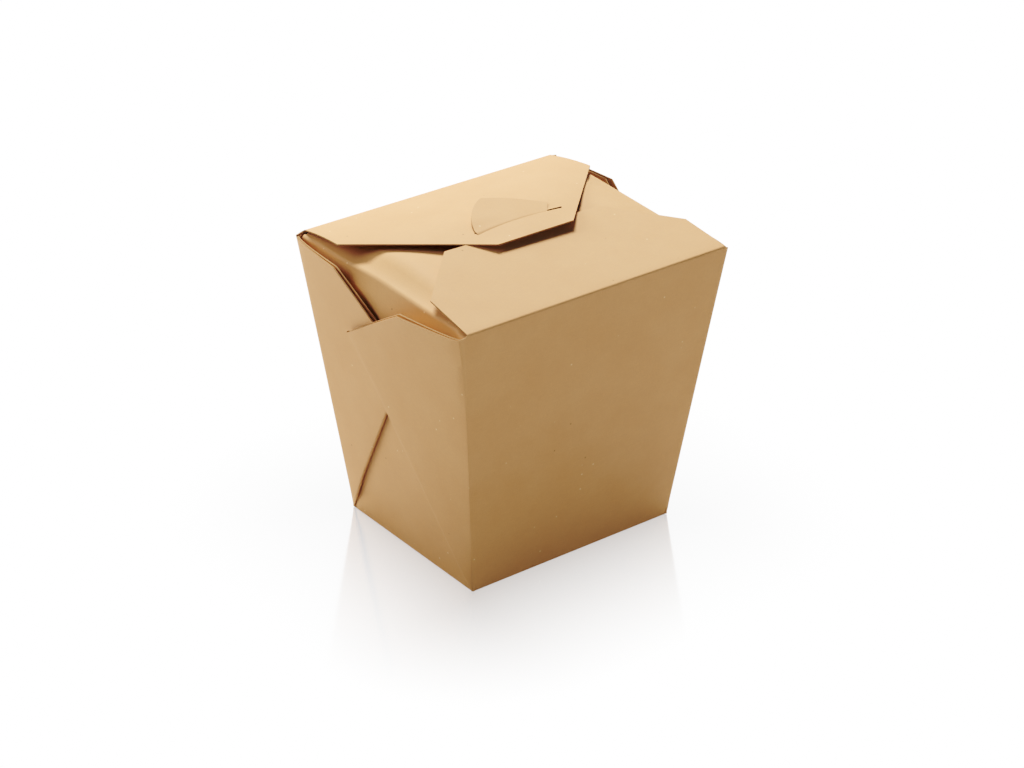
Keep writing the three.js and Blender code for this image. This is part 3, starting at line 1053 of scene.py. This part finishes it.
def end_panel(name, front_gusset, back_gusset, rest, facing=1):
    blank = Blank(name)
    low = FOLD_RADIUS / HEIGHT
    first = end_row(low, front_gusset, back_gusset, rest)
    foot = end_row(0.0, front_gusset, back_gusset, rest)
    for t in steps(1, 0, FOOT_STEPS)[:-1]:
        row = []
        for wall, base in zip(first, foot):
            corner = Vector((-BASE_HALF_WIDTH, base[0].y, 0))
            inner = Vector((-BASE_HALF_WIDTH + FOLD_RADIUS, base[0].y, 0))
            row.append((bend(wall[0], corner, inner, t), 4 * t * (1 - t)))
        blank.add_row(row)
    roll_start = ROLL_START / END_SLANT
    for share in steps(low, POINT_SHARE, 5)[:-1] + steps(POINT_SHARE, roll_start, 24):
        blank.add_row(end_row(share, front_gusset, back_gusset, rest))
    for roll in steps(0, math.pi / 2, ROLL_STEPS)[1:]:
        blank.add_row(end_row(roll_start, front_gusset, back_gusset, rest, roll))
    rolled = blank.rows[-1]
    for t in steps(0, 1, DUST_STEPS)[1:]:
        row = []
        for place, _ in rolled:
            x = mix(place.x, -DUST_INNER_X, t)
            y = place.y * mix(1, DUST_TAPER, t**2)
            z = mix(place.z, dust_height(rest, x, y), smooth(t / DUST_EASE))
            row.append((Vector((x, y, z)), 0.0))
        blank.add_row(row)
    return finish_piece(blank.to_object(facing))


# %% The two ends
left_end = end_panel("end_left", OVER_LEFT, UNDER_LEFT, LEFT_REST)
right_end = end_panel("end_right", OVER_RIGHT, UNDER_RIGHT, RIGHT_REST, facing=-1)

# %% [markdown]
# ## The base
#
# The base is the middle of the blank. It is pressed up a hair in the middle, so that the box
# stands on its edges.

# %% Base panel
BASE_DISH = 0.3


def base_panel():
    blank = Blank("base")
    width = BASE_HALF_WIDTH - FOLD_RADIUS
    depth = BASE_HALF_DEPTH - FOLD_RADIUS
    for y in steps(depth, -depth, 12):
        row = []
        for x in steps(-width, width, 14):
            dish = BASE_DISH * (1 - (x / width) ** 2) * (1 - (y / depth) ** 2)
            row.append((Vector((x, y, dish)), 0.0))
        blank.add_row(row)
    return finish_piece(blank.to_object())


base = base_panel()
pieces = [front, back, left_end, right_end, base]
print(f"{len(pieces)} pieces, {sum(len(piece.data.polygons) for piece in pieces)} faces")

# %% [markdown]
# ## Floor, light and camera
#
# The box stands on opal acrylic that is lit from below, so there is hardly a shadow and its foot
# shows in a faint reflection. The light that the floor throws back on the box is that of plain
# white paper, because a glowing floor would flatten it.
#
# A softbox high at the back right is the key and makes the top the brightest. A wide one low in
# front fills the front panel, which stays the darkest, and a card at the back left lifts the left
# end between the two.

# %% Floor
FLOOR_SIZE = 12  # in metres
FLOOR_BELOW = 0.02  # how far below the box's foot it is
FLOOR_SHEEN = 0.62  # the share of the floor's look that is a reflection, beside the box
FLOOR_SHEEN_REACH = 66  # millimetres from the box where the sheen has faded away
FLOOR_SHEEN_FADE = 1.4  # the power by which it fades
FLOOR_ROUGHNESS = 0.1
FLOOR_BOUNCE = 0.8  # how much light it throws back on the box


def beside_box(tree):
    """The sheen's share on the floor: strongest at the box's foot, and none further off."""
    place = add_node(tree, "ShaderNodeTexCoord").outputs["Object"]
    away = add_node(tree, "ShaderNodeVectorMath", {0: place}, operation="ABSOLUTE")
    foot = (BASE_HALF_WIDTH * MM, BASE_HALF_DEPTH * MM, 1.0)
    off = add_node(tree, "ShaderNodeVectorMath", {0: away.outputs[0], 1: foot}, operation="SUBTRACT")
    beside = {0: off.outputs[0], 1: (0, 0, 0)}
    off = add_node(tree, "ShaderNodeVectorMath", beside, operation="MAXIMUM")
    far = add_node(tree, "ShaderNodeVectorMath", {0: off.outputs[0]}, operation="LENGTH")
    inputs = {"Value": far.outputs["Value"]} | stretch(0.0, FLOOR_SHEEN_REACH * MM, 1.0, 0.0)
    near = add_node(tree, "ShaderNodeMapRange", inputs)
    fade = {0: near.outputs[0], 1: FLOOR_SHEEN_FADE}
    faded = add_node(tree, "ShaderNodeMath", fade, operation="POWER")
    share = {0: faded.outputs[0], 1: FLOOR_SHEEN}
    return add_node(tree, "ShaderNodeMath", share, operation="MULTIPLY").outputs[0]


def by_ray(tree, seen, bounced):
    """Shows one shader, and lights the box by another."""
    path = add_node(tree, "ShaderNodeLightPath")
    inputs = {0: path.outputs["Is Diffuse Ray"], 1: seen, 2: bounced}
    return add_node(tree, "ShaderNodeMixShader", inputs).outputs[0]


def white_acrylic():
    """Opal acrylic lit from below: evenly white, with a reflection that fades from the box."""
    material = bpy.data.materials.new("white_acrylic")
    material.use_nodes = True
    material.cycles.emission_sampling = "NONE"
    tree = material.node_tree
    tree.nodes.remove(tree.nodes["Principled BSDF"])
    glow = add_node(tree, "ShaderNodeEmission", {"Strength": 1.0})
    sheen = add_node(tree, "ShaderNodeBsdfGlossy", {"Roughness": FLOOR_ROUGHNESS})
    seen = add_node(
        tree, "ShaderNodeMixShader", {0: beside_box(tree), 1: glow.outputs[0], 2: sheen.outputs[0]}
    )
    plain = add_node(tree, "ShaderNodeBsdfDiffuse", {"Color": (FLOOR_BOUNCE,) * 3 + (1,)})
    both = by_ray(tree, seen.outputs[0], plain.outputs[0])
    tree.links.new(both, tree.nodes["Material Output"].inputs["Surface"])
    return material


def floor():
    data = bpy.data.meshes.new("floor")
    half = FLOOR_SIZE / 2
    corners = [(-half, -half), (half, -half), (half, half), (-half, half)]
    data.from_pydata([(x, y, -FLOOR_BELOW * MM) for x, y in corners], [], [(0, 1, 2, 3)])
    data.materials.append(white_acrylic())
    add_object("floor", data)


floor()
print(f"the floor's reflection fades out {FLOOR_SHEEN_REACH} mm from the box")

# %% World
AMBIENT = 0.02  # the white surroundings light the box only this much


def studio():
    world = bpy.data.worlds.new("studio")
    bpy.context.scene.world = world
    world.use_nodes = True
    tree = world.node_tree
    white = tree.nodes["Background"]
    white.inputs["Color"].default_value = (1, 1, 1, 1)
    white.inputs["Strength"].default_value = 1.0
    dim = add_node(tree, "ShaderNodeBackground", {"Strength": AMBIENT})
    dim.name = "ambient"
    both = by_ray(tree, white.outputs[0], dim.outputs[0])
    tree.links.new(both, tree.nodes["World Output"].inputs["Surface"])


studio()
print(f"white surroundings that light the box at {AMBIENT:.0%}")

# %% Softboxes
SOFTBOXES = [  # name, place and width in metres, power in watts
    ("key_back_right", (0.35, 0.65, 1.15), 0.4, 17.7),
    ("fill_front", (0.1, -1.4, 0.15), 0.6, 3.75),
    ("card_left", (-0.40, 0.30, 0.36), 0.3, 1.18),
]
SOFTBOX_AIM = Vector((0, 0, 0.06))


def softbox(name, place, width, power):
    data = bpy.data.lights.new(name, "AREA")
    data.shape = "SQUARE"
    data.size = width
    data.energy = power
    light = add_object(name, data)
    light.location = place
    light.rotation_euler = (SOFTBOX_AIM - Vector(place)).to_track_quat("-Z", "Y").to_euler()


for box in SOFTBOXES:
    softbox(*box)
print(f"{len(SOFTBOXES)} softboxes")

# %% Camera
CAMERA_PLACE = (-0.5201, -0.6790, 0.5130)
CAMERA_AZIMUTH = math.radians(-37.5)
CAMERA_ELEVATION = math.radians(28.49)
CAMERA_ROLL = math.radians(0.27)
FOCAL_LENGTH = 103.3
SENSOR_WIDTH = 36


def camera():
    data = bpy.data.cameras.new("camera")
    data.lens = FOCAL_LENGTH
    data.sensor_width = SENSOR_WIDTH
    data.clip_start = 0.01
    view = add_object("camera", data)
    level = math.cos(CAMERA_ELEVATION)
    x = math.sin(CAMERA_AZIMUTH) * level
    y = -math.cos(CAMERA_AZIMUTH) * level
    back = Vector((x, y, math.sin(CAMERA_ELEVATION)))
    right = Vector((0, 0, 1)).cross(back).normalized()
    up = back.cross(right)
    turn = Matrix((right, up, back)).transposed().to_4x4()
    roll = Matrix.Rotation(CAMERA_ROLL, 4, "Z")
    view.matrix_world = Matrix.Translation(CAMERA_PLACE) @ turn @ roll
    bpy.context.scene.camera = view


camera()
print(f"a {FOCAL_LENGTH} mm lens, {Vector(CAMERA_PLACE).length:.2f} m away")

# %% The picture's tone curve
TONES = [  # scene light, and how bright it is shown
    (0.0, 0.0),
    (0.0467, 0.048),
    (0.0689, 0.095),
    (0.0896, 0.141),
    (0.133, 0.232),
    (0.222, 0.387),
    (0.40, 0.61),
    (0.688, 0.83),
    (1.0, 1.0),
]


def tone_curve():
    view = bpy.context.scene.view_settings
    view.view_transform = "Standard"
    view.use_curve_mapping = True
    curve = view.curve_mapping.curves[3]
    curve.points[0].location = TONES[0]
    curve.points[-1].location = TONES[-1]
    for tone in TONES[1:-1]:
        curve.points.new(*tone)
    view.curve_mapping.update()


tone_curve()
print(f"a tone curve of {len(TONES)} points")
